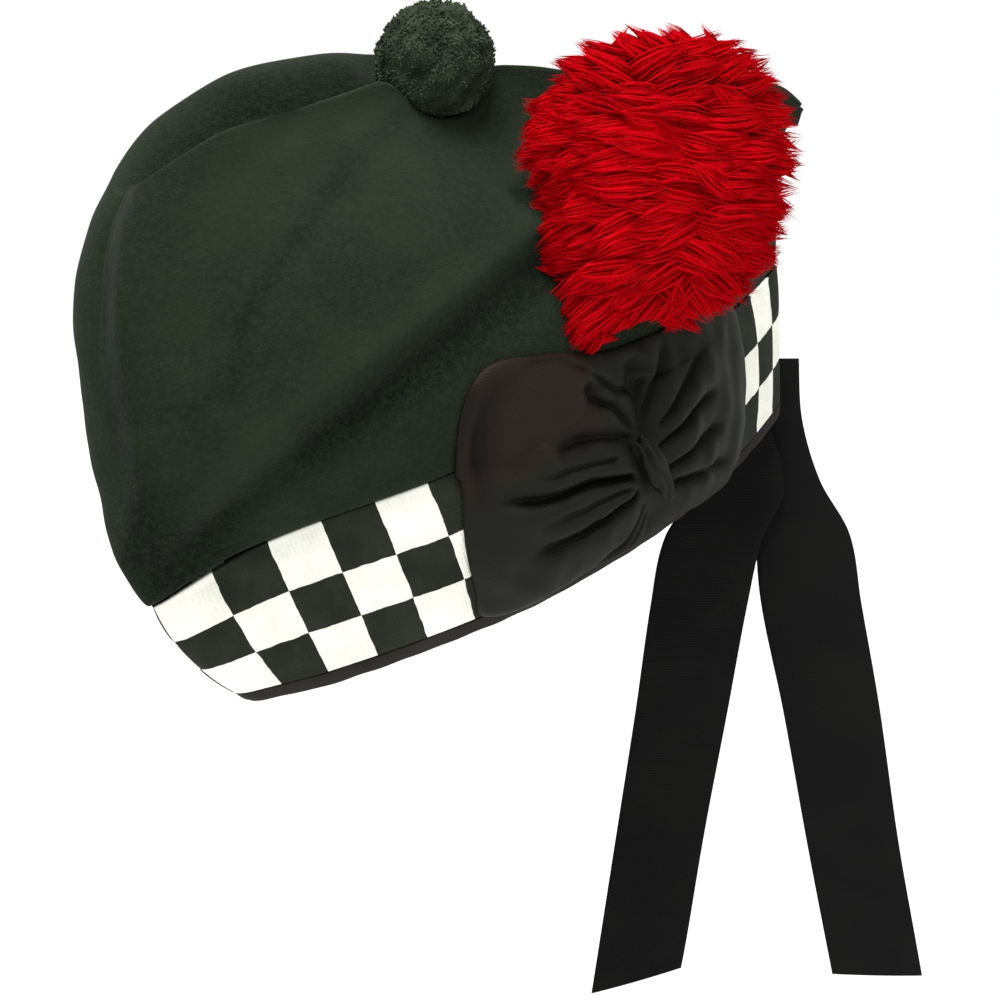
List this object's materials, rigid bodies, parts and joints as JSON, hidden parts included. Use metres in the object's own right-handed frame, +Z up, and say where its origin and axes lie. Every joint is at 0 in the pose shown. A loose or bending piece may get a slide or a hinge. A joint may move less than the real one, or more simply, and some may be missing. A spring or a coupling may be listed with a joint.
{
  "type": "glengarry cap",
  "caption": "Boat-shaped felt cap with a lengthwise crease, diced band, bound rim, wool toorie, gathered side cockade, red feather hackle and two hanging ribbon tails.",
  "frame": {"origin": "middle of the rim's plane, where the cap sits on a head: the mount head_seat", "axes": "+X towards the front of the cap, +Y towards the wearer's left, +Z straight up; the cap is pitched front-down by 22.4 degrees about Y, and the ribbon tails hang along -Z"},
  "size_m": [0.3235, 0.1531, 0.3479],
  "materials": {
    "crown_felt": "matte felted wool",
    "band_knit": "matte wool, woven in white and dark green dice",
    "binding_tape": "ribbed tape, slight sheen",
    "toorie_wool": "clipped wool pile",
    "cockade_silk": "silk, soft sheen",
    "hackle_feather": "feather, matte",
    "ribbon_tape": "silk ribbon, slight sheen"
  },
  "bodies": {
    "root": {"crown": "crown_felt", "diced_band": "band_knit", "rim_binding": "binding_tape", "toorie": "toorie_wool", "cockade": "cockade_silk", "cockade_knot": "cockade_silk", "hackle": "hackle_feather", "ribbon_tail_left": "ribbon_tape", "ribbon_tail_right": "ribbon_tape"}
  },
  "joints": []
}
